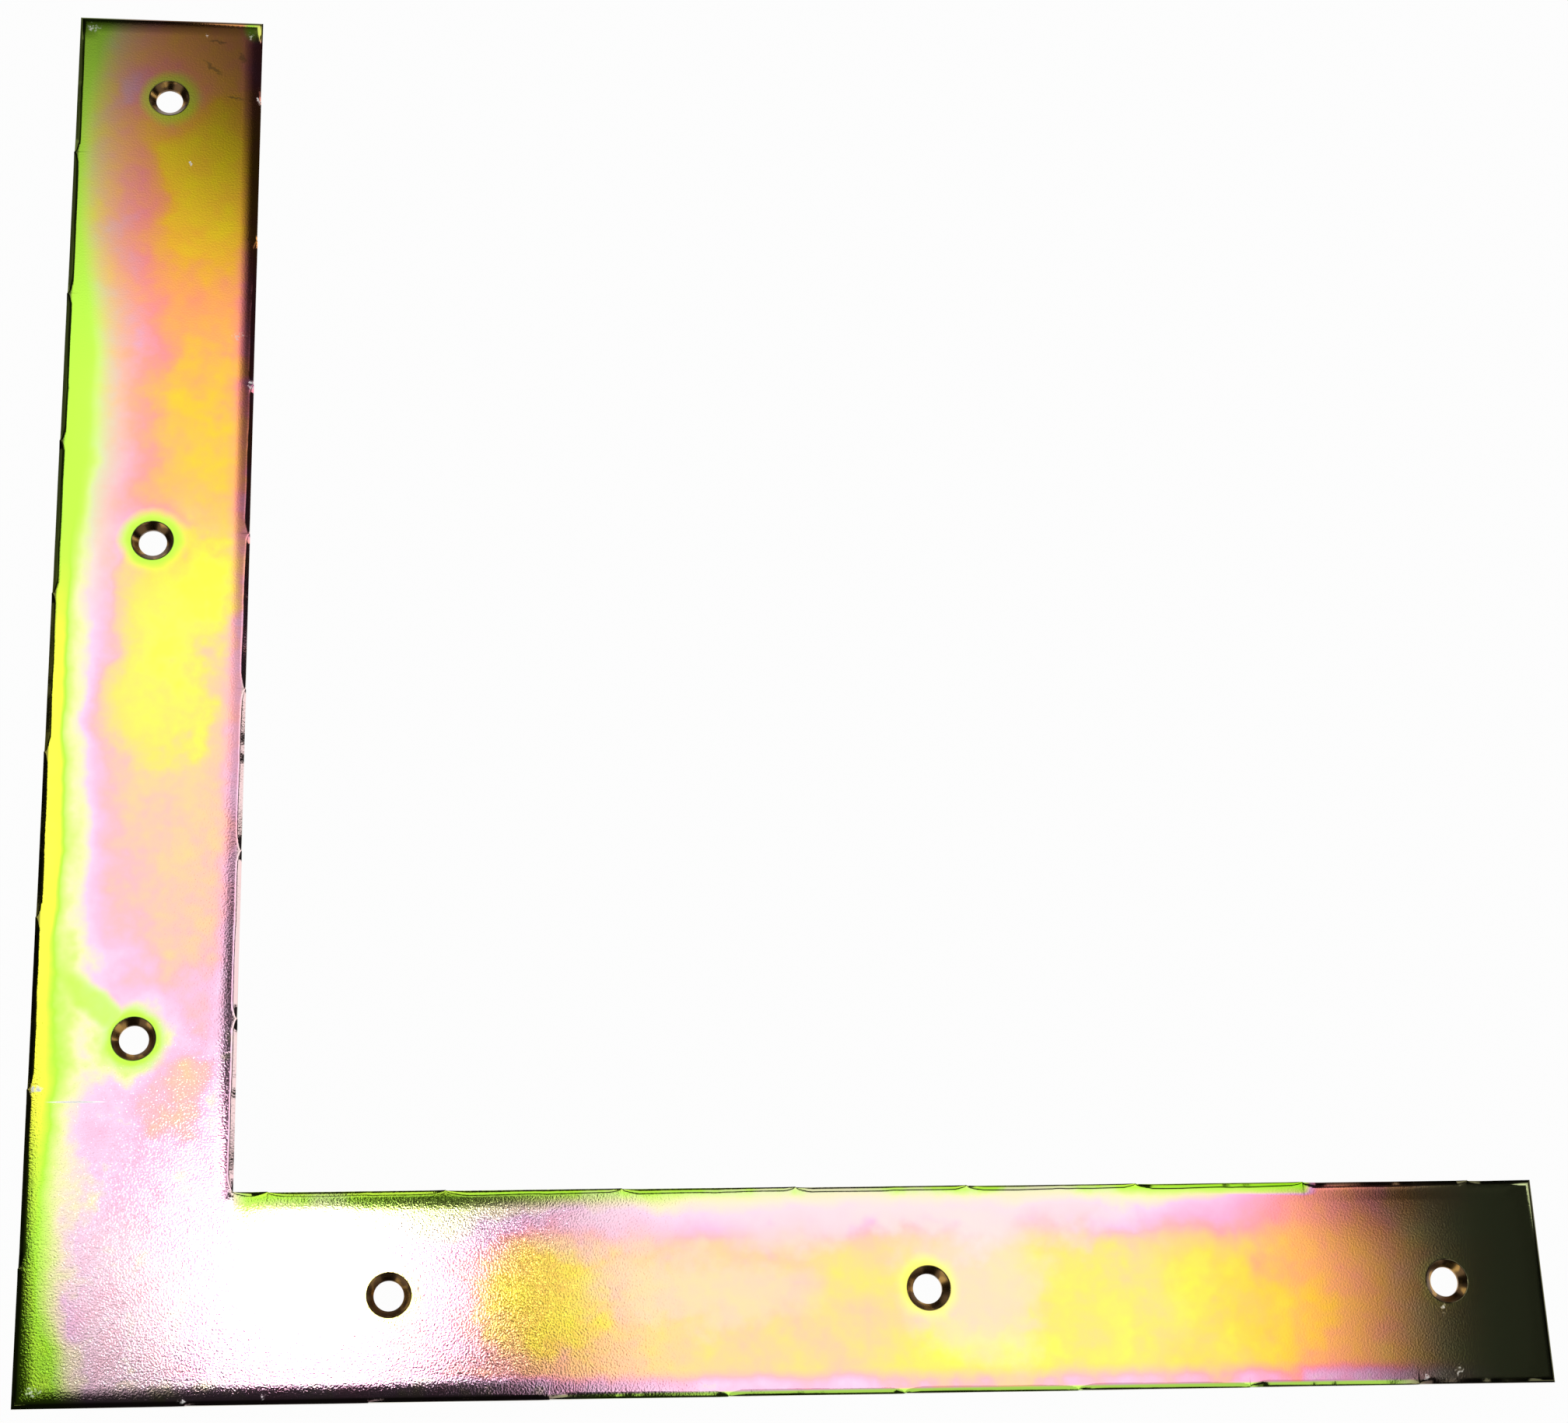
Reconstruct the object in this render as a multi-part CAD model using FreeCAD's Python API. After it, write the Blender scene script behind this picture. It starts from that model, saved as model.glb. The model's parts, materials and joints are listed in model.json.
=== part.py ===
import FreeCAD, Part
import os
import math

from FreeCAD import Vector

# Flat corner brace: one L of sheet steel, punched out stroke by stroke, with countersunk screw holes.
# Millimetres. The origin is on the underside, where the centre lines of the two arms cross.
# One arm runs along +X, the other along +Y, and the countersinks open towards +Z.

# Plate
arm_length = 300.0
arm_width = 40.0
plate_thickness = 2.0

# Screw holes: the first measured from the outer corner, the last from the arm's end, evenly spaced
screws_per_arm = 3
first_screw = 70.0
last_screw_margin = 20.0
bore_radius = 2.9
countersink_radius = 4.25
countersink_angle = 90.0
countersink_rounding = 0.3

# Punch strokes: where the first overlap lies on each long edge, from the outer corner, and their pitch
stroke_pitch = 34.3
outer_y_first_overlap = 25.9
inner_y_first_overlap = 39.7
outer_x_first_overlap = 32.0
inner_x_first_overlap = 46.6
stroke_step = 0.12

# Upper edge drawn down by the punch: widest just after an overlap, thinner towards the next
roll_width = 1.05
roll_thin_share = 0.75
roll_slope = 0.48
roll_belly = 0.3
roll_rise = 3.5
roll_fall = 2.4
longest_run_share = 0.3
end_roll_width = 0.8
overlap_gap = 0.16

# Least roll, as a share of the full width, where the flat face runs out to the outline
nib_share = 0.08

# Knee in the roll's run-in and run-out beside an overlap: its place and its width, as shares
run_in_knee = 0.3
run_out_knee = 0.35
knee_width = 0.62

# How far a cutter reaches past the metal it removes, and how steeply a roll's cutter falls out there
clearance = 1.0
beyond_slope = 0.34


def at(origin, along, inward, distance, depth, height):
    """Point beside an edge: so far along it, so deep into the metal, at this height."""
    place = origin + along * distance + inward * depth
    return Vector(place.x, place.y, height)


def overlaps(first, start, stop):
    """Distances of the stroke overlaps along an edge, kept clear of both its ends."""
    places = []
    place = first
    while place < stop - roll_fall:
        if place > start + roll_rise:
            places.append(place)
        place += stroke_pitch
    return places


def sawtooth(origin, along, inward, start, stop, places):
    """Outline of a punched edge: each stroke starts a little inside the line and ends on it."""
    marks = [start] + places + [stop]
    points = []
    for begin, finish in zip(marks[:-1], marks[1:]):
        inset = stroke_step if begin != start else 0.0
        points.append(at(origin, along, inward, begin, inset, 0.0))
        points.append(at(origin, along, inward, finish, 0.0, 0.0))
    return points


def roll_section(origin, along, inward, distance, width):
    """Closed outline of the metal missing above a rolled edge, across the edge at one place."""
    top = plate_thickness
    drop = width * roll_slope
    inner = at(origin, along, inward, distance, width, top)
    middle = at(origin, along, inward, distance, width * 0.5, top - drop * roll_belly)
    outer = at(origin, along, inward, distance, 0.0, top - drop)
    outside_low = at(origin, along, inward, distance, -clearance, top - drop - clearance * beyond_slope)
    outside_high = at(origin, along, inward, distance, -clearance, top + clearance)
    inner_high = at(origin, along, inward, distance, width, top + clearance)
    curve = Part.Arc(inner, middle, outer).toShape()
    sides = Part.makePolygon([outer, outside_low, outside_high, inner_high, inner]).Edges
    return Part.Wire([curve] + sides)


def rolled_stroke(origin, along, inward, begin, finish, starts_plain, ends_plain):
    """Cutter for the roll of one stroke. A plain end keeps its width, any other fades to a point."""
    length = finish - begin
    rise = min(roll_rise, length * longest_run_share)
    fall = min(roll_fall, length * longest_run_share)
    stations = []
    if starts_plain:
        stations.append((begin, 1.0))
    else:
        stations.append((begin + overlap_gap * 0.5, nib_share))
        stations.append((begin + rise * run_in_knee, knee_width))
    stations.append((begin + rise, 1.0))
    stations.append((begin + length * 0.5, (1.0 + roll_thin_share) * 0.5))
    stations.append((finish - fall, roll_thin_share))
    if ends_plain:
        stations.append((finish, roll_thin_share))
    else:
        stations.append((finish - fall * run_out_knee, roll_thin_share * knee_width))
        stations.append((finish - overlap_gap * 0.5, nib_share))
    sections = [roll_section(origin, along, inward, place, roll_width * share)
                for place, share in stations]
    return Part.makeLoft(sections, True, True)


def rolled_edge(origin, along, inward, start, stop, places, starts_plain):
    """Cutters for every stroke of a long edge, which always runs out plain at the arm's end."""
    marks = [start] + places + [stop]
    cutters = []
    for number, (begin, finish) in enumerate(zip(marks[:-1], marks[1:])):
        plain_start = starts_plain and number == 0
        plain_end = number == len(marks) - 2
        first = begin - clearance if plain_start else begin
        last = finish + clearance if plain_end else finish
        cutters.append(rolled_stroke(origin, along, inward, first, last, plain_start, plain_end))
    return cutters


def rolled_end(origin, along, inward):
    """Cutter for the roll across the end of an arm, made by one stroke."""
    sections = [roll_section(origin, along, inward, place, end_roll_width)
                for place in (-clearance, arm_width + clearance)]
    return Part.makeLoft(sections, True, True)


def screw_hole(x, y):
    """Cutter for one hole: straight bore, cone, and the slightly rounded edge where the cone opens."""
    half_angle = math.radians(countersink_angle * 0.5)
    wall = Vector(math.sin(half_angle), 0.0, math.cos(half_angle))
    mouth = Vector(countersink_radius, 0.0, plate_thickness)
    cone_floor = plate_thickness - (countersink_radius - bore_radius) / math.tan(half_angle)
    tangent = countersink_rounding * math.tan((math.pi * 0.5 - half_angle) * 0.5)
    bend_start = mouth - wall * tangent
    bend_end = mouth + Vector(tangent, 0.0, 0.0)
    centre = bend_end - Vector(0.0, 0.0, countersink_rounding)
    outward = Vector(-wall.z, 0.0, wall.x + 1.0)
    bend_middle = centre + outward.normalize() * countersink_rounding
    above = plate_thickness + clearance
    lower = Part.makePolygon([
        Vector(0.0, 0.0, above),
        Vector(0.0, 0.0, -clearance),
        Vector(bore_radius, 0.0, -clearance),
        Vector(bore_radius, 0.0, cone_floor),
        bend_start,
    ]).Edges
    bend = Part.Arc(bend_start, bend_middle, bend_end).toShape()
    upper = Part.makePolygon([bend_end, Vector(bend_end.x, 0.0, above), Vector(0.0, 0.0, above)]).Edges
    profile = Part.Face(Part.Wire(lower + [bend] + upper))
    hole = profile.revolve(Vector(0.0, 0.0, 0.0), Vector(0.0, 0.0, 1.0), 360.0)
    hole.translate(Vector(x, y, 0.0))
    return hole


def corner_brace():
    along_x = Vector(1.0, 0.0, 0.0)
    along_y = Vector(0.0, 1.0, 0.0)
    half = arm_width * 0.5
    corner = Vector(-half, -half, 0.0)
    inner_x_line = corner + along_y * arm_width
    inner_y_line = corner + along_x * arm_width

    outer_x_marks = overlaps(outer_x_first_overlap, 0.0, arm_length)
    inner_x_marks = overlaps(inner_x_first_overlap, arm_width, arm_length)
    outer_y_marks = overlaps(outer_y_first_overlap, 0.0, arm_length)
    inner_y_marks = overlaps(inner_y_first_overlap, arm_width, arm_length)

    outline = sawtooth(corner, along_x, along_y, 0.0, arm_length, outer_x_marks)
    outline += sawtooth(inner_x_line, along_x, -along_y, arm_width, arm_length, inner_x_marks)[::-1]
    outline += sawtooth(inner_y_line, along_y, -along_x, arm_width, arm_length, inner_y_marks)[1:]
    outline += sawtooth(corner, along_y, along_x, 0.0, arm_length, outer_y_marks)[::-1]
    plate = Part.Face(Part.makePolygon(outline)).extrude(Vector(0.0, 0.0, plate_thickness))

    cutters = rolled_edge(corner, along_x, along_y, 0.0, arm_length, outer_x_marks, True)
    cutters += rolled_edge(inner_x_line, along_x, -along_y, arm_width, arm_length, inner_x_marks, False)
    cutters += rolled_edge(corner, along_y, along_x, 0.0, arm_length, outer_y_marks, True)
    cutters += rolled_edge(inner_y_line, along_y, -along_x, arm_width, arm_length, inner_y_marks, False)
    cutters.append(rolled_end(corner + along_x * arm_length, along_y, -along_x))
    cutters.append(rolled_end(corner + along_y * arm_length, along_x, -along_y))

    screw_pitch = (arm_length - last_screw_margin - first_screw) / (screws_per_arm - 1)
    for number in range(screws_per_arm):
        place = first_screw - half + number * screw_pitch
        cutters.append(screw_hole(place, 0.0))
        cutters.append(screw_hole(0.0, place))
    return plate.cut(cutters)


os.makedirs("parts", exist_ok=True)
brace = corner_brace()
print("solids", len(brace.Solids), "valid", brace.isValid(), "faces", len(brace.Faces))
print("volume mm3", round(brace.Volume, 1), "box", brace.BoundBox)
brace.Solids[0].exportStep("parts/corner_brace.step")
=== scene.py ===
import json
import math
import bmesh
import bpy
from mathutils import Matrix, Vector


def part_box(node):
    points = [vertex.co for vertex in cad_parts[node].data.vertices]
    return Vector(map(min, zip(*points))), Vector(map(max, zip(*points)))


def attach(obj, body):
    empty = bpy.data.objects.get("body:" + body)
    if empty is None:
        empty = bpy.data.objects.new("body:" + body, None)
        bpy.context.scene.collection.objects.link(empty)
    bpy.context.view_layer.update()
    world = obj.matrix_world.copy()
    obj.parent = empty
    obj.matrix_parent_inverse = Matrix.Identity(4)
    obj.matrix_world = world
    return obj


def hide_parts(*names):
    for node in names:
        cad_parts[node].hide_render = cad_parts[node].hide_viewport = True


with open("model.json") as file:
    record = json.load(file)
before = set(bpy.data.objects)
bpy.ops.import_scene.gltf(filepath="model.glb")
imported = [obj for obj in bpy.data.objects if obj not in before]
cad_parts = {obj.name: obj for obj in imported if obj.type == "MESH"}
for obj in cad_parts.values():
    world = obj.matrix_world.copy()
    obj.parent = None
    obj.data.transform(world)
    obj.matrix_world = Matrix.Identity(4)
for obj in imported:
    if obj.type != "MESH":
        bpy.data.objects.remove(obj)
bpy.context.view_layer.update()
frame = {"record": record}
mm = 0.001
tolerance = 0.001 * mm
scene = bpy.context.scene


# Small helpers

def deselectAll():
    if bpy.context.object and bpy.context.object.mode == "EDIT":
        bpy.ops.object.mode_set(mode="OBJECT")
    bpy.ops.object.select_all(action="DESELECT")


# Select the vertices, edges or faces of the mesh in edit mode that pass the test.
def pick(kind, test):
    bpy.ops.mesh.select_mode(type={"verts": "VERT", "edges": "EDGE", "faces": "FACE"}[kind])
    bpy.ops.mesh.select_all(action="DESELECT")
    mesh = bmesh.from_edit_mesh(bpy.context.object.data)
    for part in getattr(mesh, kind):
        if test(part):
            part.select_set(True)
    mesh.select_flush_mode()
    bmesh.update_edit_mesh(bpy.context.object.data)


def applyModifier(piece, kind, **settings):
    deselectAll()
    bpy.context.view_layer.objects.active = piece
    piece.select_set(True)
    modifier = piece.modifiers.new(kind.lower(), kind)
    for name, value in settings.items():
        setattr(modifier, name, value)
    bpy.ops.object.modifier_apply(modifier=modifier.name)


# The plate: one L of sheet, punched out stroke by stroke

lowCorner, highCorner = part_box("corner_brace")

plate = {
    "length": highCorner.x - lowCorner.x,   # outer corner to the end of an arm
    "width": -2 * lowCorner.x,              # the arms' centre lines cross at the origin
    "thickness": highCorner.z,
    "strokePitch": 34.3 * mm,
    "firstOverlaps": {"outerX": 32.0 * mm, "innerX": 46.6 * mm, "outerY": 25.9 * mm, "innerY": 39.7 * mm},
    "strokeStep": 0.12 * mm,                # jog in the outline at an overlap
    "rollWidth": 1.05 * mm,                 # the upper edge drawn down by the punch
    "rollSlope": 0.48,
    "rollCurve": (0.45, 0.55),              # its straight and its rounded share
    "rollThinShare": 0.75,                  # how much of the width is left before the next overlap
    "rollRise": 3.5 * mm,
    "rollFall": 2.4 * mm,
    "rollFade": 0.55,                       # power by which the width fades towards an overlap
    "leastRoll": 1e-7,                      # keeps a faded width from being nothing
    "unevenness": (0.07, 0.05),             # heights of two slow waves of the width along an edge
    "waves": (410, 1330),                   # how fast they come, in radians for a metre
    "waveShift": 9000,                      # sets the arms' ends apart from the long edges
    "endRollWidth": 0.8 * mm,
    "overlapGap": 0.16 * mm,
    "shoulder": 0.13 * mm,                  # the face also falls away gently towards its edges
    "rings": [step * mm for step in (0.12, 0.16, 0.2, 0.24, 0.28, 0.3, 0.4, 0.5, 0.6, 0.6, 0.6)],
    "columnStep": 3.0 * mm,                 # columns of vertices along an arm, and beside an overlap
    "fallShares": (1, 0.7, 0.42, 0.2, 0.08),
    "riseShares": (0.06, 0.14, 0.28, 0.48, 0.72, 1),
    "startRoom": 0.05 * mm,                 # least room at the start, round a column, between two
    "columnRoom": 0.9 * mm,
    "leastRoom": 0.07 * mm,
    "cornerRoom": 0.2 * mm,
    "tearHeight": 0.9 * mm,                 # below this the wall is torn, and leans in a little
    "tearLean": 0.05 * mm,
    "lowerChamfer": 0.1 * mm,
}

half = plate["width"] / 2
top = plate["thickness"]
ringReach = sum(plate["rings"])
columnMargin = ringReach + plate["cornerRoom"]


def overlapPlaces(edge, start):
    places = []
    place = plate["firstOverlaps"][edge]
    while place < plate["length"] - plate["rollFall"]:
        if place > start + plate["rollRise"]:
            places.append(place)
        place += plate["strokePitch"]
    return places


# Each edge: where it starts, its direction, the way into the metal, its reach and its overlaps.
def makeEdges():
    alongX, alongY = Vector((1, 0, 0)), Vector((0, 1, 0))
    corner, width, length = Vector((-half, -half, 0)), plate["width"], plate["length"]
    edges = []
    for name, origin, along, inward, start in (
        ("outerX", corner, alongX, alongY, 0),
        ("innerX", corner + alongY * width, alongX, -alongY, width),
        ("outerY", corner, alongY, alongX, 0),
        ("innerY", corner + alongX * width, alongY, -alongX, width),
    ):
        marks = overlapPlaces(name, start)
        edges.append({"origin": origin, "along": along, "inward": inward, "start": start, "stop": length,
                      "overlaps": marks, "width": plate["rollWidth"], "plainStart": start == 0})
    for origin, along, inward in ((corner + alongX * length, alongY, -alongX),
                                  (corner + alongY * length, alongX, -alongY)):
        edges.append({"origin": origin, "along": along, "inward": inward, "start": 0, "stop": width,
                      "overlaps": [], "width": plate["endRollWidth"], "plainStart": True})
    return edges


edges = makeEdges()


# Roll width and outline jog at a place along an edge, each as a share of its largest value.
def strokeShares(edge, place):
    marks = [edge["start"]] + edge["overlaps"] + [edge["stop"]]
    number = sum(1 for mark in marks[1:-1] if place > mark)
    begin, finish = marks[number], marks[number + 1]
    plainStart = edge["plainStart"] and number == 0
    plainEnd = number == len(marks) - 2
    gap = plate["overlapGap"] / 2
    run = (place - begin) / (finish - begin)
    share = 1 - (1 - plate["rollThinShare"]) * run if edge["overlaps"] else 1
    if not plainStart:
        share *= min(1, max(0, place - begin - gap) / plate["rollRise"]) ** plate["rollFade"]
    if not plainEnd:
        share *= min(1, max(0, finish - gap - place) / plate["rollFall"]) ** plate["rollFade"]
    jog = 0 if number == 0 else 1 - run
    return share, jog


def rollDrop(edge, place, depth):
    share = strokeShares(edge, place)[0]
    # slight unevenness from stroke to stroke, along the edge
    (high, low), (slow, fast) = plate["unevenness"], plate["waves"]
    uneven = 1 + high * math.sin(place * slow + edge["width"] * plate["waveShift"])
    uneven += low * math.sin(place * fast)
    width = max(edge["width"] * share * uneven, plate["leastRoll"])
    shoulder = plate["shoulder"] * (1 - depth / ringReach) ** 2
    if depth >= width:
        return shoulder
    run = 1 - depth / width
    straight, rounded = plate["rollCurve"]
    return shoulder + plate["rollSlope"] * width * (straight * run + rounded * run ** 2)


# Places along an arm where the mesh needs a column of vertices.
def stationsBetween(low, high, names):
    gap = plate["overlapGap"] / 2
    near = [-share * plate["rollFall"] for share in plate["fallShares"]] + [-gap, gap]
    near += [share * plate["rollRise"] for share in plate["riseShares"]]
    wanted = []
    for name in names:
        start = plate["width"] if "inner" in name else 0
        marks = overlapPlaces(name, start)
        if start:
            marks.append(start)
        wanted += [mark + step for mark in marks for step in near]
    count = int((high - low) / plate["columnStep"])
    fill = [low + (high - low) * number / count for number in range(1, count)]
    kept = sorted(place for place in wanted if low + plate["startRoom"] < place < high - columnMargin)
    for place in fill:
        isFree = all(abs(place - other) > plate["columnRoom"] for other in kept)
        if isFree and low + columnMargin < place < high - columnMargin:
            kept.append(place)
    kept.sort()
    thinned = []
    for place in kept:
        if not thinned or place - thinned[-1] > plate["leastRoom"]:
            thinned.append(place)
    return thinned


# Push one side of the corner square out along an arm, a column at a time.
def extrudeArm(axis, stations):
    pick("edges", lambda e: all(v.co[axis] > half - tolerance and v.co[1 - axis] < half + tolerance
                                for v in e.verts))
    reached = plate["width"]
    for place in stations:
        step = [0, 0, 0]
        step[axis] = place - reached
        bpy.ops.mesh.extrude_region_move(TRANSFORM_OT_translate={"value": step})
        reached = place


# Cut columns across the corner square only.
def splitCorner(axis, stations):
    for place in stations:
        pick("faces", lambda f: all(max(abs(v.co.x), abs(v.co.y)) < half + tolerance for v in f.verts))
        point, normal = [0, 0, 0], [0, 0, 0]
        point[axis], normal[axis] = place - half, 1
        bpy.ops.mesh.bisect(plane_co=point, plane_no=normal)


def addSheet():
    deselectAll()
    bpy.ops.mesh.primitive_plane_add(size=plate["width"], location=(0, 0, top))
    sheet = bpy.context.object
    sheet.name = sheet.data.name = "punched_plate"
    bpy.ops.object.transform_apply(location=True)
    bpy.ops.object.mode_set(mode="EDIT")
    width, length = plate["width"], plate["length"]
    extrudeArm(0, stationsBetween(width, length, ["outerX", "innerX"]) + [length])
    extrudeArm(1, stationsBetween(width, length, ["outerY", "innerY"]) + [length])
    for axis, name in enumerate(("outerX", "outerY")):
        splitCorner(axis, [p for p in stationsBetween(0, width, [name]) if p > columnMargin])
    bpy.ops.mesh.select_all(action="SELECT")
    bpy.ops.mesh.extrude_region_move(TRANSFORM_OT_translate={"value": (0, 0, -top)})
    bpy.ops.mesh.select_all(action="SELECT")
    bpy.ops.mesh.normals_make_consistent(inside=False)
    # a small chamfer round the underside, then the line where the wall begins to tear
    pick("edges", lambda e: all(v.co.z < tolerance for v in e.verts)
         and any(abs(f.normal.z) < 0.5 for f in e.link_faces))
    bpy.ops.mesh.bevel(offset=plate["lowerChamfer"], segments=2, affect="EDGES")
    pick("faces", lambda f: abs(f.normal.z) < 0.5)
    bpy.ops.mesh.bisect(plane_co=(0, 0, plate["tearHeight"]), plane_no=(0, 0, 1))
    # rings inside the upper outline, for the drawn-down edge
    pick("faces", lambda f: f.normal.z > 0.9 and f.calc_center_median().z > top - tolerance)
    for ring in plate["rings"]:
        bpy.ops.mesh.inset(thickness=ring, use_boundary=True, use_even_offset=True)
    bpy.ops.object.mode_set(mode="OBJECT")
    return sheet


# Draw the upper edge down, jog the outline at each overlap and lean the torn wall in.
def shapeEdges(sheet):
    widest = plate["rollWidth"] * (1 + sum(plate["unevenness"]))
    deepest = plate["rollSlope"] * widest + plate["shoulder"]
    moves = {"down": ("Z", -deepest), "east": ("X", plate["strokeStep"]), "west": ("X", -plate["strokeStep"]),
             "north": ("Y", plate["strokeStep"]), "south": ("Y", -plate["strokeStep"])}
    groups = {name: sheet.vertex_groups.new(name=name) for name in moves}
    ways = {(1, 0): "east", (-1, 0): "west", (0, 1): "north", (0, -1): "south"}
    for vertex in sheet.data.vertices:
        drop = 0
        for edge in edges:
            offset = vertex.co - edge["origin"]
            place, depth = offset.dot(edge["along"]), offset.dot(edge["inward"])
            inside = edge["start"] - tolerance <= place <= edge["stop"] + tolerance
            if not inside or not -tolerance <= depth < ringReach:
                continue
            if vertex.co.z > top - tolerance:
                drop = max(drop, rollDrop(edge, place, depth))
            inset = strokeShares(edge, place)[1] * (1 - depth / ringReach)
            if vertex.co.z < plate["tearHeight"] - tolerance:
                inset += plate["tearLean"] / plate["strokeStep"] * (1 - depth / ringReach)
            way = ways[tuple(round(c) for c in edge["inward"][:2])]
            if inset > 0:
                groups[way].add([vertex.index], min(1, inset), "REPLACE")
        if drop > 0:
            groups["down"].add([vertex.index], drop / deepest, "REPLACE")
    for name, (direction, strength) in moves.items():
        applyModifier(sheet, "DISPLACE", vertex_group=name, direction=direction, strength=strength,
                      mid_level=0)
    sheet.vertex_groups.clear()


# The screw holes, cut with one modelled cutter and its copies

hole = {
    "boreRadius": 2.9 * mm,
    "coneRadius": 4.25 * mm,
    "coneDepth": 1.35 * mm,
    "rounding": 0.3 * mm,                   # where the cone meets the face
    "roundingSteps": 7,
    "sides": 96,
    "beyond": 1.0 * mm,                     # how far the cutter stands out of the plate
    "mouthDraft": 0.01 * mm,
    "first": 50.0 * mm,                     # from the origin to the first hole of each arm
    "pitch": 105.0 * mm,
    "places": [tuple(m["pos_m"][:2]) for m in frame["record"]["mounts"] if "hole" in m["name"]],
}


# A plug the shape of one hole: bore, cone and the rounded edge where it opens.
def addCutter():
    deselectAll()
    bpy.ops.mesh.primitive_circle_add(vertices=hole["sides"], radius=hole["boreRadius"], fill_type="NGON",
                                      location=(0, 0, -hole["beyond"]))
    cutter = bpy.context.object
    cutter.name = "hole_cutter"
    bpy.ops.object.transform_apply(location=True)
    bpy.ops.object.mode_set(mode="EDIT")
    bpy.ops.mesh.select_all(action="SELECT")
    tangent = hole["rounding"] * math.tan(math.pi / 8)
    bend = (hole["coneRadius"] + tangent, top - hole["rounding"])
    steps = [(top - hole["coneDepth"], hole["boreRadius"])]
    for number in range(hole["roundingSteps"]):
        angle = math.pi / 4 * (1 - number / (hole["roundingSteps"] - 1))
        steps.append((bend[1] + hole["rounding"] * math.cos(angle),
                      bend[0] - hole["rounding"] * math.sin(angle)))
    steps.append((top + hole["beyond"], bend[0] + hole["mouthDraft"]))
    height, radius = -hole["beyond"], hole["boreRadius"]
    for newHeight, newRadius in steps:
        bpy.ops.mesh.extrude_region_move(TRANSFORM_OT_translate={"value": (0, 0, newHeight - height)})
        grow = newRadius / radius
        bpy.ops.transform.resize(value=(grow, grow, 1), center_override=(0, 0, newHeight))
        height, radius = newHeight, newRadius
    bpy.ops.mesh.select_all(action="SELECT")
    bpy.ops.mesh.normals_make_consistent(inside=False)
    bpy.ops.object.mode_set(mode="OBJECT")
    return cutter


def cutHoles(sheet):
    cutter = addCutter()
    for place in hole["places"]:
        deselectAll()
        cutter.select_set(True)
        bpy.context.view_layer.objects.active = cutter
        bpy.ops.object.duplicate()
        copy = bpy.context.object
        bpy.ops.transform.translate(value=(place[0], place[1], 0))
        bpy.ops.object.transform_apply(location=True)
        applyModifier(sheet, "BOOLEAN", object=copy, operation="DIFFERENCE", solver="EXACT")
        bpy.data.objects.remove(copy)
    bpy.data.objects.remove(cutter)


def finishPlate(sheet):
    deselectAll()
    bpy.context.view_layer.objects.active = sheet
    sheet.select_set(True)
    bpy.ops.object.mode_set(mode="EDIT")
    bpy.ops.mesh.select_all(action="SELECT")
    bpy.ops.mesh.remove_doubles(threshold=0.002 * mm)
    bpy.ops.object.mode_set(mode="OBJECT")
    bpy.ops.object.shade_smooth_by_angle(angle=math.radians(32))
    applyModifier(sheet, "WEIGHTED_NORMAL", keep_sharp=True, weight=75)


brace = addSheet()
print("sheet laid out:", len(brace.data.polygons), "faces")
shapeEdges(brace)
print("edges drawn down")
cutHoles(brace)
finishPlate(brace)
print("plate finished:", len(brace.data.polygons), "faces")

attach(brace, "root")
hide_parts("corner_brace")


# Finish: yellow chromate over zinc, a clear film whose colour follows its thickness, with painted shade on
# the edges, rims and countersinks and painted sheen and glints

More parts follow.
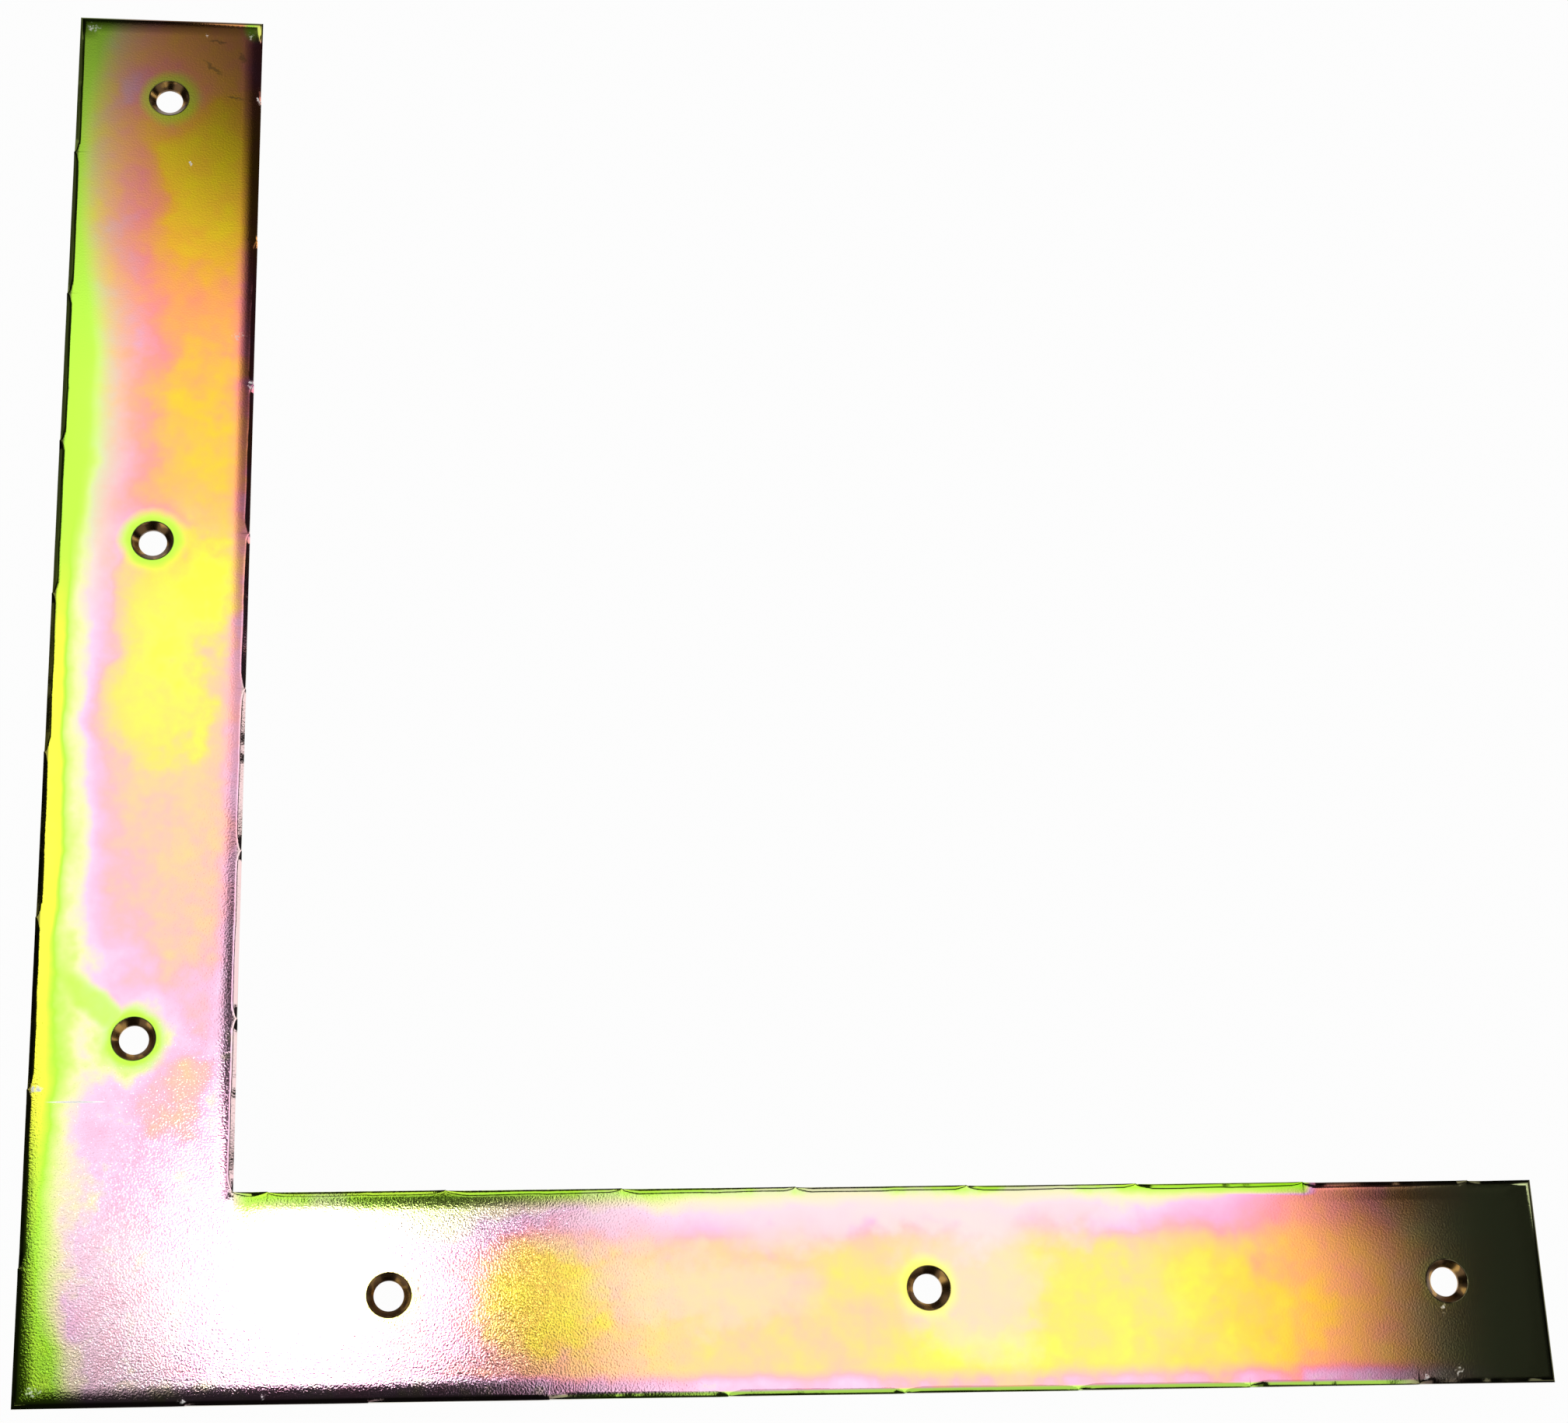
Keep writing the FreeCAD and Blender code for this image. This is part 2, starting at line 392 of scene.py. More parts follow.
film = {
    # colour at rising thickness, as the face shows it from the middle of an arm out to its edge
    "colours": [(0.00, (0.88, 0.74, 0.08)), (0.16, (0.90, 0.60, 0.13)), (0.35, (0.90, 0.46, 0.29)),
                (0.43, (0.88, 0.39, 0.40)), (0.51, (0.80, 0.41, 0.56)), (0.58, (0.76, 0.48, 0.64)),
                (0.64, (0.74, 0.64, 0.42)), (0.69, (0.58, 0.70, 0.20)), (0.75, (0.38, 0.72, 0.05)),
                (0.85, (0.82, 0.84, 0.06)), (0.94, (0.90, 0.50, 0.10)), (1.00, (0.80, 0.28, 0.36))],
    # how deep the colour is, along each arm
    "uprightDepth": [(0, 1.1), (45, 1.0), (150, 1.0), (190, 1.45), (235, 1.6), (300, 1.45)],
    "lyingDepth": [(0, 1.0), (86, 1.0), (94, 1.08), (102, 1.08), (113, 1.0), (212, 1.0), (228, 1.15),
                   (242, 1.35), (258, 1.5), (276, 1.4), (300, 1.0)],
    # thickness along the middle of each arm: distance from the outer corner in mm, thickness
    "upright": [(0, 0.55), (50, 0.56), (66, 0.54), (80, 0.49), (93, 0.385), (108, 0.35), (125, 0.34),
                (165, 0.33), (185, 0.33), (205, 0.31), (232, 0.29), (245, 0.16), (270, 0.12), (286, 0.26),
                (300, 0.30)],
    "lying": [(0, 0.55), (60, 0.52), (84, 0.47), (92, 0.36), (110, 0.30), (135, 0.29), (165, 0.28),
              (200, 0.25), (246, 0.26), (256, 0.30), (300, 0.28)],
    # share of the edge's own thickness at a distance from it, in mm
    "narrowBand": [(0, 1.0), (2.8, 0.98), (3.9, 0.87), (5.0, 0.71), (6.2, 0.53), (8.0, 0.35), (11, 0.18),
                   (15, 0.07), (22, 0.0)],
    "wideBand": [(0, 1.0), (2.6, 0.97), (3.6, 0.80), (4.6, 0.66), (5.6, 0.59), (7.4, 0.52), (8.8, 0.40),
                 (10.6, 0.24), (14, 0.08), (22, 0.0)],
    "upperBand": [(23, 0.0), (28, 0.12), (32, 0.42), (35.5, 0.60), (37.3, 0.74), (39, 0.92), (40, 1.0)],
    # clouds of other thickness: middle and reach in mm from the outer corner, change
    "clouds": [
        ((26, 161), (15, 17), -0.27), ((21, 139), (14, 16), -0.25), ((33, 172), (11, 18), -0.07),
        ((29, 196), (13, 17), -0.11), ((30, 213), (9, 11), -0.08), ((29, 256), (16, 26), -0.07),
        ((29, 59), (10, 10), -0.13),
        ((10, 228), (16, 60), 0.10), ((11, 264), (12, 30), 0.14), ((12, 296), (10, 12), 0.06),
        ((99, 21), (15, 17), -0.22), ((184, 6), (22, 9), -0.16),
        ((201, 27), (16, 10), -0.09), ((206, 14), (15, 13), -0.07),
        ((231, 23), (16, 12), -0.11), ((224, 10), (22, 10), -0.08), ((248, 12), (12, 11), -0.09),
        ((213, 33), (9, 7), 0.10), ((168, 27), (18, 13), -0.04),
    ],
    # pale patches painted on as sheen where the face mirrors bright light: middle and reach in mm, amount
    "paintedSheenClouds": [((184, 20), (17, 19), 0.45), ((190, 34), (34, 8), 0.35), ((150, 35), (30, 8), 0.35),
                   ((112, 33), (16, 9), 0.3), ((130, 20), (30, 8), 0.3), ((57, 30), (13, 12), 0.4),
                   ((20, 14), (15, 28), 0.4), ((178, 36), (48, 7), 0.3)],
    # colour of the pale painted sheen
    "pale": (0.74, 0.57, 0.54),
    # how much wider the band along the outer side of the upright arm is, in mm
    "bandWidening": [(0, 4.6), (10, 4.0), (24, 0.2), (60, 0.0), (80, 0.0), (96, 0.6), (112, 1.0),
                     (128, 0.4), (145, 0.0), (170, 0.2), (188, 1.4), (204, 3.2), (226, 2.6),
                     (242, 0.8), (264, 0.2), (282, 1.2), (300, 5.0)],
    # a green mark where the bath ran off from a hole, and green at the upright arm's inner end corner
    "flowMark": {"middle": (13.0, 76), "along": (-0.66, 0.75), "reach": (13, 4.0), "strength": 0.85},
    "greenCorner": [(38.6, 298.4), (3.4, 4.2)],
    "pinkest": {"upright": 0.55, "lying": 0.57},    # the face is no thicker than this by its pink edges
    "upperFilm": 0.78,                      # thickness in the line along the lying arm's upper side
    "rings": {"upright": (0.42, 0.76, 0.06), "lying": (0.86, 0.82, 0.10)},
    # dark brown painted inside the countersinks as shade
    "paintedCountersinkShade": (0.14, 0.08, 0.035),
    # brass patches painted inside the countersinks as glints
    "paintedGlint": (0.52, 0.30, 0.09),
    "paintedGlintFrom": (-0.02, 0.09),             # height of the noise where the painted brass glints start and are full
    # dark line painted along each hole's rounded rim as shade
    "outline": (0.05, 0.04, 0.03),
    # near-black painted on the rolled edges and the arms' ends as shade, then its strength
    "paintedEdgeShade": (0.07, 0.055, 0.03),
    "edgeShadeStrength": 0.85,
    "lowerLine": (0.44, 0.74, 0.10),
    "farEnd": (0.55, 0.62, 0.30),
    "wall": (0.46, 0.40, 0.20),
    # marks of handling: middle and reach in mm, then strength; the creases with their direction between
    "scratch": [(9.6, 57.6), (6.4, 0.24)],
    "nicks": [
        ((2.0, 60.2), (1.7, 1.2), 0.9), ((39.3, 210.9), (0.9, 1.8), 0.9), ((36.6, 222.4), (2.6, 1.4), 0.55),
        ((25.1, 263.7), (0.8, 0.7), 0.9), ((39.4, 279.8), (0.9, 1.7), 0.9), ((37.4, 296), (1.2, 2.0), 0.6),
        ((28, 296), (0.6, 0.6), 0.7), ((3.0, 297.2), (2.6, 1.8), 0.75), ((3.6, 2.9), (2.6, 1.7), 0.65),
        ((278.7, 14.4), (1.1, 1.8), 0.6), ((280.2, 2.5), (1.2, 1.5), 0.8), ((273.5, 1.4), (1.2, 0.9), 0.7),
        ((31.7, 0.7), (1.2, 0.8), 0.9), ((46.4, 1.5), (0.9, 0.8), 0.8),
    ],
    "creases": [((34.5, 280.6), (-0.97, 0.2), (2.6, 0.35)), ((29.4, 288), (-0.78, 0.62), (3.4, 0.5)),
                ((30, 294.6), (-1, 0.1), (2.6, 0.45)), ((35.8, 290.9), (-0.3, 0.95), (1.5, 1.0))],
    "bare": (0.95, 0.95, 0.92),
    "crease": (0.16, 0.12, 0.06),
    "warp": [(12.0, 9.0), (3.5, 4.0)],      # size and throw of the swirls, in mm
    "mottle": [(7.0, 0.13), (2.4, 0.05)],   # size in mm and height of the fine unevenness
    # where something turns from one level to another: from and to in mm, level before and after
    "turns": {
        "ontoUpright": (-6, 6),
        "ontoLying": (37, 43),
        "offUpright": (37, 43, 1.0, 0.0),
        "pinkLeft": (8, 24, 0.07, 0.0),
        "pinkInner": (34, 39, 0.0, 0.16),
        "pinkLower": (2, 5.5, 0.25, 0.0),
        "haloStart": (5, 7),
        "haloEnd": (7, 12, 0.07, 0.0),
        "haloOffUpright": (40, 60, 1.0, 0.0),
        "yellowToGreen": (130, 200, 0.86, 0.745),
        "greenToYellow": (30, 75, 0.76, 0.90),
        "bandNarrower": (228, 252, 0.0, 1.6),
        "wideBandStart": (48, 76),
        "wideBandEnd": (152, 186, 1.0, 0.0),
        "filmBandEnd": (185, 210, 1.0, 0.0),
        "plainBandStart": (150, 185),
        "brightBandStart": (60, 120),
        "upperCalm": (35, 38.5, 1.0, 0.15),
        "greenLine": (36.5, 38),
        "greenLineEnd": (252, 257, 1.0, 0.0),
        "upperFainter": (228, 262, 1.0, 0.2),
        "upperOut": (40, 41, 1.0, 0.0),
        "ring": (4.6, 8.0, 1.0, 0.0),
        "ringSmaller": (37, 43, 0.0, 0.8),
        "ringOnLying": (37, 43, 0.0, 0.8),
        "ringFainter": (225, 262, 1.0, 0.6),
        # the pale painted highlight line along the upright arm's inner edge
        "innerSheenLine": (38.7, 39.4),
        "innerSheenLineEnd": (140, 152, 0.85, 0.0),
        "insideHole": (4.2, 4.34, 1.0, 0.0),
        # where the painted rim shade starts and fades
        "outlineStart": (4.12, 4.24),
        "outlineEnd": (4.34, 4.52, 0.8, 0.0),
        "wallTop": (1.0, 1.15, 1.0, 0.0),
        "wallFoot": (0.05, 0.12),
        "nearSide": (0.7, 1.2, 1.0, 0.0),
        "lowerLineStart": (98, 112),
        "lowerLineEnd": (266, 274, 1.0, 0.0),
        # painted edge shade: where it starts along the lying arm's upper side
        "upperEdgeShadeStart": (250, 256, 9, 0),
        "nearEnd": (0.5, 1.1, 0.85, 0.0),
        # painted edge shade: where it stops across the lying arm's upper side
        "upperEdgeShadeOut": (40.5, 41, 1.0, 0.0),
        "farEnd": (262, 292),
        "smoother": (95, 190, 1.0, 0.22),
    },
}

surface = {
    "roughness": 0.055,
    "wornRoughness": 0.38,
    "countersinkRoughness": 0.24,
    "grainSize": 0.40,
    "grainHeight": 0.012 * mm,
}


def makeGroup(name, inputs, outputs):
    group = bpy.data.node_groups.new(name, "ShaderNodeTree")
    kinds = {"Vector": "NodeSocketVector", "Colour": "NodeSocketColor"}
    for way, labels in (("INPUT", inputs), ("OUTPUT", outputs)):
        for label in labels:
            kind = kinds.get(label, "NodeSocketFloat")
            group.interface.new_socket(name=label, in_out=way, socket_type=kind)
    return group, group.nodes.new("NodeGroupInput"), group.nodes.new("NodeGroupOutput")


# a value is a number or the output of another node
def plug(tree, value, socket):
    if isinstance(value, (int, float)):
        socket.default_value = value
    else:
        tree.links.new(value, socket)


def compute(tree, operation, *values, clamp=False):
    node = tree.nodes.new("ShaderNodeMath")
    node.operation = operation
    node.use_clamp = clamp
    for socket, value in zip(node.inputs, values):
        plug(tree, value, socket)
    return node.outputs[0]


def remap(tree, value, fromLow, fromHigh, toLow=0.0, toHigh=1.0, kind="SMOOTHSTEP"):
    node = tree.nodes.new("ShaderNodeMapRange")
    node.interpolation_type = kind
    for label, number in (("Value", value), ("From Min", fromLow), ("From Max", fromHigh),
                          ("To Min", toLow), ("To Max", toHigh)):
        plug(tree, number, node.inputs[label])
    return node.outputs[0]


def turn(tree, value, name):
    return remap(tree, value, *film["turns"][name])


# noise whose grains are about so many millimetres across, from -0.5 to 0.5
def noise(tree, vector, size, detail=2.0, shift=0.0):
    place = tree.nodes.new("ShaderNodeMapping")
    place.inputs["Location"].default_value = (shift, shift * 0.7, 0)
    texture = tree.nodes.new("ShaderNodeTexNoise")
    texture.inputs["Scale"].default_value = 1000 / size
    texture.inputs["Detail"].default_value = detail
    tree.links.new(vector, place.inputs["Vector"])
    tree.links.new(place.outputs[0], texture.inputs["Vector"])
    return compute(tree, "SUBTRACT", texture.outputs[0], 0.5)


# a curve through the given stops: place in mm, height
def curve(tree, value, stops):
    low, high = stops[0][0], stops[-1][0]
    node = tree.nodes.new("ShaderNodeFloatCurve")
    points = node.mapping.curves[0].points
    while len(points) < len(stops):
        points.new(0.5, 0.5)
    for point, (place, height) in zip(points, stops):
        point.location = ((place - low) / (high - low), height)
        point.handle_type = "AUTO_CLAMPED"
    node.mapping.update()
    tree.links.new(remap(tree, value, low, high, kind="LINEAR"), node.inputs["Value"])
    return node.outputs[0]


# first where share is 0, second where it is 1
def blend(tree, share, first, second):
    mix = tree.nodes.new("ShaderNodeMix")
    for socket, value in zip((mix.inputs[0], mix.inputs[2], mix.inputs[3]), (share, first, second)):
        plug(tree, value, socket)
    return mix.outputs[0]


def placeGroup(tree, name, *values):
    node = tree.nodes.new("ShaderNodeGroup")
    node.node_tree = bpy.data.node_groups[name]
    for socket, value in zip(node.inputs, values):
        plug(tree, value, socket)
    return node.outputs


# millimetres from the outer edges, and from the middle of the nearest screw hole
def plateDistances():
    group, given, result = makeGroup("plateDistances", ["Vector"],
                                     ["From left edge", "From lower edge", "From hole", "On upright arm"])
    split = group.nodes.new("ShaderNodeSeparateXYZ")
    group.links.new(given.outputs[0], split.inputs[0])
    x, y = (compute(group, "MULTIPLY", split.outputs[axis], 1000) for axis in range(2))
    left = compute(group, "ADD", x, half / mm)
    lower = compute(group, "ADD", y, half / mm)
    first, pitch = hole["first"] / mm, hole["pitch"] / mm
    nearest = []
    for along, across in ((x, y), (y, x)):
        wrapped = compute(group, "WRAP", along, first + pitch / 2, first - pitch / 2)
        offset = compute(group, "SUBTRACT", wrapped, first)
        squares = compute(group, "MULTIPLY_ADD", offset, offset, compute(group, "MULTIPLY", across, across))
        nearest.append(compute(group, "SQRT", squares))
    upright = turn(group, compute(group, "SUBTRACT", lower, left), "ontoUpright")
    for socket, value in zip(result.inputs, (left, lower, compute(group, "MINIMUM", *nearest), upright)):
        group.links.new(value, socket)


# one soft oval cloud: 1 at its middle, 0 beyond its reach
def cloud():
    group, given, result = makeGroup("cloud", ["X", "Y", "Middle X", "Middle Y", "Reach X", "Reach Y"],
                                     ["Share"])
    x, y, middleX, middleY, reachX, reachY = given.outputs[:6]
    across = compute(group, "DIVIDE", compute(group, "SUBTRACT", x, middleX), reachX)
    along = compute(group, "DIVIDE", compute(group, "SUBTRACT", y, middleY), reachY)
    squares = compute(group, "MULTIPLY_ADD", across, across, compute(group, "MULTIPLY", along, along))
    group.links.new(remap(group, squares, 0.1, 1.0, 1.0, 0.0), result.inputs[0])


# the same, slanted: its reach along is in the direction given
def slantedCloud():
    group, given, result = makeGroup("slantedCloud", ["X", "Y", "Middle X", "Middle Y", "Direction X",
                                                      "Direction Y", "Reach along", "Reach across"],
                                     ["Share"])
    x, y, middleX, middleY, directionX, directionY, reachAlong, reachAcross = given.outputs[:8]
    x = compute(group, "SUBTRACT", x, middleX)
    y = compute(group, "SUBTRACT", y, middleY)
    along = compute(group, "MULTIPLY_ADD", x, directionX, compute(group, "MULTIPLY", y, directionY))
    across = compute(group, "SUBTRACT", compute(group, "MULTIPLY", x, directionY),
                     compute(group, "MULTIPLY", y, directionX))
    share = placeGroup(group, "cloud", along, across, 0, 0, reachAlong, reachAcross)[0]
    group.links.new(share, result.inputs[0])


# nicks and scuffs down to bare zinc, and a few creases
def handlingMarks():
    group, given, result = makeGroup("handlingMarks", ["Vector"], ["Bare", "Crease"])
    vector = given.outputs[0]
    left, lower = placeGroup(group, "plateDistances", vector)[:2]
    x = compute(group, "MULTIPLY_ADD", noise(group, vector, 1.3), 2.2, left)
    y = compute(group, "MULTIPLY_ADD", noise(group, vector, 1.3, shift=0.4), 2.2, lower)
    middle, reach = film["scratch"]
    scratch = placeGroup(group, "cloud", left, lower, *middle, *reach)[0]
    bare = 0.0
    for middle, reach, strength in film["nicks"]:
        share = placeGroup(group, "cloud", x, y, *middle, *reach)[0]
        bare = compute(group, "MULTIPLY_ADD", share, strength, bare)
    # broken up into specks
    bare = compute(group, "MULTIPLY_ADD", noise(group, vector, 0.6, 1.0, shift=0.3), 1.5, bare)
    bare = compute(group, "MAXIMUM", remap(group, bare, 0.5, 1.2), scratch)
    crease = 0.0
    for middle, direction, reach in film["creases"]:
        share = placeGroup(group, "slantedCloud", x, y, *middle, *direction, *reach)[0]
        crease = compute(group, "MAXIMUM", share, crease)
    group.links.new(compute(group, "MINIMUM", bare, 1), result.inputs[0])
    crease = compute(group, "MULTIPLY_ADD", noise(group, vector, 0.8, shift=0.6), crease, crease)
    group.links.new(compute(group, "MULTIPLY", crease, 0.5, clamp=True), result.inputs[1])


# millimetres from the outer edges, swirled a little
def warpedPlace(group, vector, left, lower):
    x, y = left, lower
    for size, throw in film["warp"]:
        x = compute(group, "MULTIPLY_ADD", noise(group, vector, size), throw * 2, x)
        y = compute(group, "MULTIPLY_ADD", noise(group, vector, size, shift=0.37), throw * 2, y)
    return x, y


# thickness on the open face: along each arm's middle, clouds, fine unevenness and a halo round the holes
def faceFilm(group, vector, distances, x, y):
    left, lower, fromHole, upright = distances
    # upright arm: pinker to the left and at its inner edge; lying arm: pinker at its lower edge
    alongY = compute(group, "ADD", curve(group, y, film["upright"]), turn(group, left, "pinkLeft"))
    alongY = compute(group, "ADD", alongY, turn(group, left, "pinkInner"))
    alongX = compute(group, "ADD", curve(group, x, film["lying"]), turn(group, lower, "pinkLower"))
    thickness = blend(group, upright, compute(group, "MINIMUM", alongX, film["pinkest"]["lying"]),
                      compute(group, "MINIMUM", alongY, film["pinkest"]["upright"]))
    for middle, reach, change in film["clouds"]:
        share = placeGroup(group, "cloud", x, y, *middle, *reach)[0]
        thickness = compute(group, "MULTIPLY_ADD", share, change, thickness)
    for size, height in film["mottle"]:
        thickness = compute(group, "MULTIPLY_ADD", noise(group, vector, size), height * 2, thickness)
    # a little thicker all round each screw hole of the upright arm
    halo = compute(group, "MULTIPLY", turn(group, fromHole, "haloStart"), turn(group, fromHole, "haloEnd"))
    halo = compute(group, "MULTIPLY", halo, compute(group, "ADD", noise(group, vector, 12, shift=0.7), 1))
    halo = compute(group, "MULTIPLY", halo, turn(group, left, "haloOffUpright"))
    return compute(group, "ADD", thickness, halo)


# band down the upright arm's outer side, green with a yellow stretch between: its share, its thickness
def outerBand(group, vector, left, lower, sway):
    thickness = compute(group, "MINIMUM", turn(group, lower, "yellowToGreen"),
                        turn(group, lower, "greenToYellow"))
    thickness = compute(group, "MULTIPLY_ADD", noise(group, vector, 5, shift=0.2), 0.05, thickness)
    inward = compute(group, "MULTIPLY_ADD", sway, 0.6, compute(group, "ADD", left, 0.2))
    widest = max(width for place, width in film["bandWidening"])
    widening = curve(group, lower, [(place, width / widest) for place, width in film["bandWidening"]])
    inward = compute(group, "MULTIPLY_ADD", widening, -widest, inward)
    inward = compute(group, "ADD", inward, turn(group, lower, "bandNarrower"))
    wide = compute(group, "MULTIPLY", turn(group, lower, "wideBandStart"), turn(group, lower, "wideBandEnd"))
    shares = [curve(group, inward, film[name]) for name in ("narrowBand", "wideBand")]
    return blend(group, wide, *shares), thickness


# share of the lilac and green along the lying arm's upper side
def upperBand(group, vector, left, lower, sway):
    wavy = compute(group, "MULTIPLY_ADD", noise(group, vector, 9, shift=0.6), 3, sway)
    wavy = compute(group, "MULTIPLY", wavy, turn(group, lower, "upperCalm"))
    upper = curve(group, compute(group, "ADD", wavy, lower), film["upperBand"])
    line = compute(group, "MULTIPLY", turn(group, lower, "greenLine"), turn(group, left, "greenLineEnd"))
    reach = compute(group, "MAXIMUM", line, turn(group, left, "upperFainter"))
    for other in (reach, turn(group, lower, "upperOut"), turn(group, left, "ontoLying")):
        upper = compute(group, "MULTIPLY", upper, other)
    return upper


# a ring round each hole, fainter at the arms' ends, the mark where the bath ran off and the green corner
def ringShare(group, vector, left, lower, fromHole):
    ring = compute(group, "MULTIPLY_ADD", noise(group, vector, 6, shift=0.5), 2.4, fromHole)
    ring = turn(group, compute(group, "ADD", ring, turn(group, left, "ringSmaller")), "ring")
    far = compute(group, "MAXIMUM", left, lower)
    ring = compute(group, "MULTIPLY", ring, turn(group, far, "ringFainter"))
    mark = film["flowMark"]
    swing = compute(group, "MULTIPLY", noise(group, vector, 8, shift=0.9), 3)
    x, y = (compute(group, "ADD", value, swing) for value in (left, lower))
    streak = placeGroup(group, "slantedCloud", x, y, *mark["middle"], *mark["along"], *mark["reach"])[0]
    middle, reach = film["greenCorner"]
    corner = placeGroup(group, "cloud", left, lower, *middle, *reach)[0]
    return compute(group, "MAXIMUM", ring, compute(group, "MULTIPLY_ADD", streak, mark["strength"], corner))


# how thick the chromate film is, from 0 to 1, how deep its colour, and the shares of ring green and of pale
# painted sheen
def filmThickness():
    group, given, result = makeGroup("filmThickness", ["Vector"], ["Thickness", "Depth", "Ring", "Paleness"])
    vector = given.outputs[0]
    distances = placeGroup(group, "plateDistances", vector)[:4]
    left, lower, fromHole, upright = distances
    x, y = warpedPlace(group, vector, left, lower)
    sway = compute(group, "MULTIPLY", noise(group, vector, 30, shift=0.8), 4)
    sway = compute(group, "MULTIPLY_ADD", noise(group, vector, 9, shift=0.15), 2.4, sway)
    band, bandFilm = outerBand(group, vector, left, lower, sway)
    thickness = faceFilm(group, vector, distances, x, y)
    thickness = blend(group, compute(group, "MULTIPLY", band, turn(group, lower, "filmBandEnd")),
                      thickness, bandFilm)
    thickness = blend(group, upperBand(group, vector, left, lower, sway), thickness, film["upperFilm"])

    # depth curves run from 1 to 2, so they are kept from 0 to 1 until the end
    depths = [curve(group, value, [(place, depth - 1) for place, depth in film[name]])
              for value, name in ((x, "lyingDepth"), (y, "uprightDepth"))]
    bright = compute(group, "MULTIPLY", band, turn(group, lower, "brightBandStart"))
    deepness = blend(group, bright, blend(group, upright, *depths), 0.0)

    # towards the upright arm's end the band lies over the rest as plain green
    plainBand = compute(group, "MULTIPLY", band, turn(group, lower, "plainBandStart"))
    ring = compute(group, "MAXIMUM", ringShare(group, vector, left, lower, fromHole), plainBand)

    # painted sheen: pale clouds that stand for bright reflections, and a pale painted highlight line along
    # the upright arm's inner edge near the corner
    paintedSheen = 0.0
    for middle, reach, amount in film["paintedSheenClouds"]:
        share = placeGroup(group, "cloud", x, y, *middle, *reach)[0]
        paintedSheen = compute(group, "MULTIPLY_ADD", share, amount, paintedSheen)
    innerSheenLine = compute(group, "MULTIPLY", turn(group, left, "innerSheenLine"), turn(group, lower, "innerSheenLineEnd"))
    paintedSheen = compute(group, "ADD", paintedSheen, compute(group, "MULTIPLY", innerSheenLine, upright))

    outcomes = (compute(group, "MAXIMUM", thickness, 0), compute(group, "ADD", deepness, 1), ring,
                compute(group, "MINIMUM", paintedSheen, 1))
    for socket, value in zip(result.inputs, outcomes):
        group.links.new(value, socket)


# interference colour of the film at a thickness
def filmColour():
    group, given, result = makeGroup("filmColour", ["Thickness"], ["Colour"])
    ramp = group.nodes.new("ShaderNodeValToRGB")
    elements = ramp.color_ramp.elements
    while len(elements) < len(film["colours"]):
        elements.new(0.5)
    for element, (place, colour) in zip(elements, film["colours"]):
        element.position = place
        element.color = (*colour, 1)
    group.links.new(given.outputs[0], ramp.inputs[0])
    group.links.new(ramp.outputs[0], result.inputs[0])


# fine pebbled grain of the rolled sheet, as a height
def rolledGrain():
    group, given, result = makeGroup("rolledGrain", ["Vector"], ["Height"])
    fine = noise(group, given.outputs[0], surface["grainSize"])
    left, lower = placeGroup(group, "plateDistances", given.outputs[0])[:2]
    # smoother away from the corner
    share = turn(group, compute(group, "MAXIMUM", left, lower), "smoother")
    group.links.new(compute(group, "MULTIPLY", fine, share), result.inputs[0])


# shares of the painted shade inside a countersink, of the brass glints painted in it and of the dark line
# painted as shade along its rounded rim
def holeShares(group, vector, fromHole):
    inside = turn(group, fromHole, "insideHole")
    glintPatches = remap(group, noise(group, vector, 3.2, 1.0, shift=0.25), *film["paintedGlintFrom"])
    outline = compute(group, "MULTIPLY", turn(group, fromHole, "outlineStart"),
                      turn(group, fromHole, "outlineEnd"))
    return inside, compute(group, "MULTIPLY", inside, glintPatches), outline


# shares of the dark painted shade on the rolled edges, and of the green on the lying arm's lower one
def edgeShares(group, left, lower):
    nearSide = turn(group, compute(group, "MINIMUM", left, lower), "nearSide")
    away = compute(group, "MULTIPLY", turn(group, left, "lowerLineStart"), turn(group, left, "lowerLineEnd"))
    strength = film["edgeShadeStrength"]
    towardsCorner = compute(group, "MULTIPLY_ADD", away, -strength, strength)
    paintedEdgeShade = compute(group, "MULTIPLY", nearSide, towardsCorner)
    # painted shade also at the arms' ends, and along the lying arm's upper edge near its end
    fromEnd = compute(group, "SUBTRACT", plate["length"] / mm, compute(group, "MAXIMUM", left, lower))
    fromUpper = compute(group, "ADD", compute(group, "SUBTRACT", plate["width"] / mm, lower),
                        turn(group, left, "upperEdgeShadeStart"))
    nearUpper = turn(group, compute(group, "MINIMUM", fromEnd, fromUpper), "nearEnd")
    nearUpper = compute(group, "MULTIPLY", nearUpper, turn(group, lower, "upperEdgeShadeOut"))
    for other in (nearUpper, turn(group, fromEnd, "nearEnd")):
        paintedEdgeShade = compute(group, "MAXIMUM", paintedEdgeShade, other)
    return paintedEdgeShade, compute(group, "MULTIPLY", nearSide, away)
